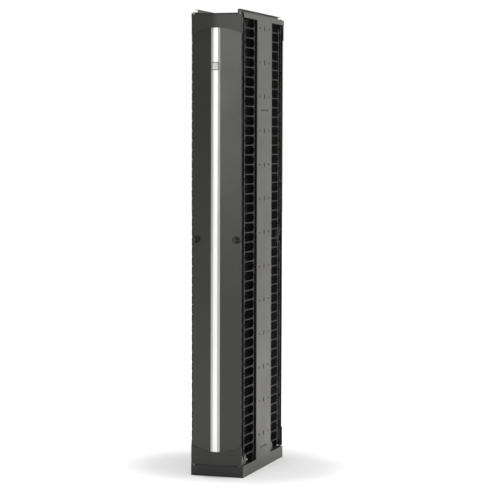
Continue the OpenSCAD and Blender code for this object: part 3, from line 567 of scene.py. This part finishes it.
def badge(end, finishes):
    """Bare square plate with a dark rim on the trim strip."""
    low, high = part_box(f"{end}_door_trim")
    front = -1 if end == "front" else 1
    face = low.y if front < 0 else high.y
    width, height, thick, corner = 34 * MM, 37 * MM, 1.2 * MM, 4 * MM
    rim, recess, proud = 3.2 * MM, 0.5 * MM, 0.2 * MM
    deselect()
    bpy.ops.mesh.primitive_cube_add(size=1, location=(0, 0, 0), scale=(width, height, 2 * thick))
    plate = take(bpy.context.object)
    bpy.ops.object.transform_apply(location=False, rotation=False, scale=True)
    bpy.ops.object.mode_set(mode="EDIT")
    pick(plate, lambda e: abs(e.verts[0].co.z - e.verts[1].co.z) > thick, "EDGE")
    bpy.ops.mesh.bevel(offset=corner, segments=5)
    pick(plate, lambda f: f.normal.z > 0.9)
    bpy.ops.mesh.inset(thickness=rim, depth=0)
    bpy.ops.mesh.extrude_region_move(TRANSFORM_OT_translate={"value": (0, 0, -recess)})
    bpy.ops.object.mode_set(mode="OBJECT")
    settle(plate, f"{end}_badge_plate", finishes["badge_rim"])
    plate.data.materials.append(finishes["badge_plate"])
    for face_of in plate.data.polygons:
        centre = face_of.center
        inner = all(abs(at) < size / 2 - 0.97 * rim for at, size in ((centre.x, width), (centre.y, height)))
        if inner and face_of.normal.z > 0.9:
            face_of.material_index = 1
    round_edges(plate, 0.4 * MM)
    smooth(plate)
    stand = Matrix.Rotation(math.radians(90), 4, "X")
    if front > 0:
        stand = Matrix.Rotation(math.pi, 4, "Z") @ stand
    place_mesh(plate, Matrix.Translation((0, face + front * proud, BADGE_Z)) @ stand)
    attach(plate, f"{end}_door")


def knob(end, side, finishes):
    """Turn knob: dished round foot with a rim and a waisted grip bar across it."""
    name = f"{end}_{side}_knob"
    low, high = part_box(name)
    front = -1 if end == "front" else 1
    seat = high.y if front < 0 else low.y
    radius = (high.x - low.x) / 2
    reach = abs(high.y - low.y)
    foot, rim, dish, step = 6 * MM, 1.8 * MM, 2.6 * MM, 0.7 * MM
    deselect()
    bpy.ops.mesh.primitive_cylinder_add(vertices=56, radius=radius, depth=foot, location=(0, 0, foot / 2))
    disc = take(bpy.context.object)
    bpy.ops.object.transform_apply(location=True, rotation=False, scale=False)
    bpy.ops.object.mode_set(mode="EDIT")
    pick(disc, lambda f: f.normal.z > 0.9)
    bpy.ops.mesh.inset(thickness=rim, depth=0)
    bpy.ops.mesh.extrude_region_move(TRANSFORM_OT_translate={"value": (0, 0, -dish)})
    bpy.ops.mesh.inset(thickness=step, depth=0)
    bpy.ops.object.mode_set(mode="OBJECT")
    round_edges(disc, step, 3)
    deselect()
    bar_w, bar_l = 9 * MM, 2 * radius - 4.2 * MM
    bpy.ops.mesh.primitive_cube_add(size=1, location=(0, 0, (2 * MM + reach) / 2),
                                    scale=(bar_w, bar_l, reach - 2 * MM))
    bar = take(bpy.context.object)
    bpy.ops.object.transform_apply(location=True, rotation=True, scale=True)
    bpy.ops.object.mode_set(mode="EDIT")
    bpy.ops.mesh.select_all(action="SELECT")
    bpy.ops.mesh.subdivide(number_cuts=7)
    bpy.ops.object.mode_set(mode="OBJECT")
    for vertex in bar.data.vertices:
        along = abs(vertex.co.y) / (bar_l / 2)
        rise = max(0.0, (vertex.co.z - foot) / (reach - foot))
        vertex.co.x *= 0.62 + 0.38 * along ** 2 - 0.14 * rise
        vertex.co.y *= 1.0 - 0.16 * rise ** 2
        vertex.co.z -= 0.9 * MM * along ** 2 * rise
    round_edges(bar, 1.1 * MM, 3, math.radians(50))
    deselect()
    bar.select_set(True)
    disc.select_set(True)
    bpy.context.view_layer.objects.active = disc
    bpy.ops.object.join()
    whole = settle(bpy.context.object, f"{end}_{side}_turn_knob", finishes["knob_plastic"])
    smooth(whole)
    stand = Matrix.Rotation(math.radians(90), 4, "X")
    if front > 0:
        stand = Matrix.Rotation(math.pi, 4, "Z") @ stand
    place_mesh(whole, Matrix.Translation(((low.x + high.x) / 2, seat, (low.z + high.z) / 2)) @ stand)
    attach(whole, f"{end}_{side}_latch")
    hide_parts(name)


# ---------------------------------------------------------------- studio

def add_camera():
    """Long lens from the front right, a little under eye level."""
    yaw, pitch, roll = (math.radians(turn) for turn in (CAMERA_YAW, CAMERA_PITCH, CAMERA_ROLL))
    forward = Vector((-math.sin(yaw) * math.cos(pitch), math.cos(yaw) * math.cos(pitch),
                      -math.sin(pitch)))
    right = Vector((math.cos(yaw), math.sin(yaw), 0.0))
    up = right.cross(forward)
    level_right = math.cos(roll) * right + math.sin(roll) * up
    level_up = math.cos(roll) * up - math.sin(roll) * right
    data = bpy.data.cameras.new("camera")
    data.lens = CAMERA_LENS
    data.sensor_width = CAMERA_SENSOR
    data.clip_end = 60.0
    camera = bpy.data.objects.new("camera", data)
    turn = Matrix((level_right, level_up, -forward)).transposed().to_4x4()
    camera.matrix_world = Matrix.Translation(CAMERA_PLACE) @ turn
    bpy.context.scene.collection.objects.link(camera)
    bpy.context.scene.camera = camera


def area_light(name, place, aim, width, height, power):
    data = bpy.data.lights.new(name, "AREA")
    data.shape = "RECTANGLE"
    data.size = width
    data.size_y = height
    data.energy = power
    lamp = bpy.data.objects.new(name, data)
    turn = (Vector(aim) - Vector(place)).to_track_quat("-Z", "Y").to_matrix().to_4x4()
    lamp.matrix_world = Matrix.Translation(place) @ turn
    bpy.context.scene.collection.objects.link(lamp)


def add_world():
    """White to the eye and to gloss behind the cabinet, dimmer for gloss in front, even fill for the rest."""
    world = bpy.data.worlds.new("studio")
    bpy.context.scene.world = world
    world.use_nodes = True
    tree = world.node_tree
    tree.nodes.clear()
    out = tree.nodes.new("ShaderNodeOutputWorld")
    ray = tree.nodes.new("ShaderNodeLightPath")
    direction = tree.nodes.new("ShaderNodeTexCoord")
    parts = tree.nodes.new("ShaderNodeSeparateXYZ")
    tree.links.new(direction.outputs["Generated"], parts.inputs[0])
    behind = remap(tree, parts.outputs["Y"], -0.2, 0.7, FRONT_GLOSS, 1.0)
    seen = math_node(tree, "MAXIMUM", ray.outputs["Is Camera Ray"], ray.outputs["Is Transmission Ray"])
    gloss = math_node(tree, "MULTIPLY", ray.outputs["Is Glossy Ray"], behind)
    rest = math_node(tree, "SUBTRACT", 1.0, math_node(tree, "MAXIMUM", seen, ray.outputs["Is Glossy Ray"]))
    fill = math_node(tree, "MULTIPLY", rest, FILL)
    total = math_node(tree, "ADD", math_node(tree, "ADD", seen, gloss), fill)
    glow = tree.nodes.new("ShaderNodeBackground")
    glow.inputs["Color"].default_value = (1.0, 1.0, 1.0, 1.0)
    tree.links.new(total, glow.inputs["Strength"])
    tree.links.new(glow.outputs[0], out.inputs["Surface"])


def add_floor():
    """White floor: it shows the shadow near the cabinet and runs into the white backdrop further off."""
    deselect()
    bpy.ops.mesh.primitive_plane_add(size=60, location=(0, 0, 0))
    floor = bpy.context.object
    floor.name = "floor"
    material = bpy.data.materials.new("pale_floor")
    material.use_nodes = True
    tree = material.node_tree
    shader = tree.nodes["Principled BSDF"]
    shader.inputs["Base Color"].default_value = (0.8, 0.8, 0.8, 1.0)
    shader.inputs["Roughness"].default_value = 0.9
    shader.inputs["Specular IOR Level"].default_value = 0.1
    shader.inputs["Emission Color"].default_value = (1.0, 1.0, 1.0, 1.0)
    ray = tree.nodes.new("ShaderNodeLightPath")
    distance = tree.nodes.new("ShaderNodeVectorMath")
    distance.operation = "LENGTH"
    tree.links.new(tree.nodes.new("ShaderNodeTexCoord").outputs["Object"], distance.inputs[0])
    lift = remap(tree, distance.outputs["Value"], FLOOR_NEAR, FLOOR_FAR, FLOOR_LIFT, 1.0)
    seen = math_node(tree, "MAXIMUM", ray.outputs["Is Camera Ray"], ray.outputs["Is Glossy Ray"])
    tree.links.new(math_node(tree, "MULTIPLY", seen, lift), shader.inputs["Emission Strength"])
    floor.data.materials.append(material)


def add_studio():
    add_camera()
    add_world()
    add_floor()
    for lamp in LAMPS:
        area_light(*lamp)
    bpy.context.scene.view_settings.view_transform = "Standard"


# ---------------------------------------------------------------- the whole

def main():
    for thing in list(bpy.data.objects):
        bpy.data.objects.remove(thing)
    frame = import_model()
    finishes = make_finishes()
    dress_nodes(frame, finishes)
    screw_finish = finishes["zinc_screws"]
    set_of_screws("frame_screw_set", "frame_screws", frame, FRAME_SCREW_D, screw_finish)
    set_of_screws("strip_screw_set", "strip_screws", frame, STRIP_SCREW_D, screw_finish)
    for end in ("front", "rear"):
        base_lip(end, finishes)
        badge(end, finishes)
        for side in ("left", "right"):
            knob(end, side, finishes)
    add_studio()
    bpy.context.view_layer.update()


main()
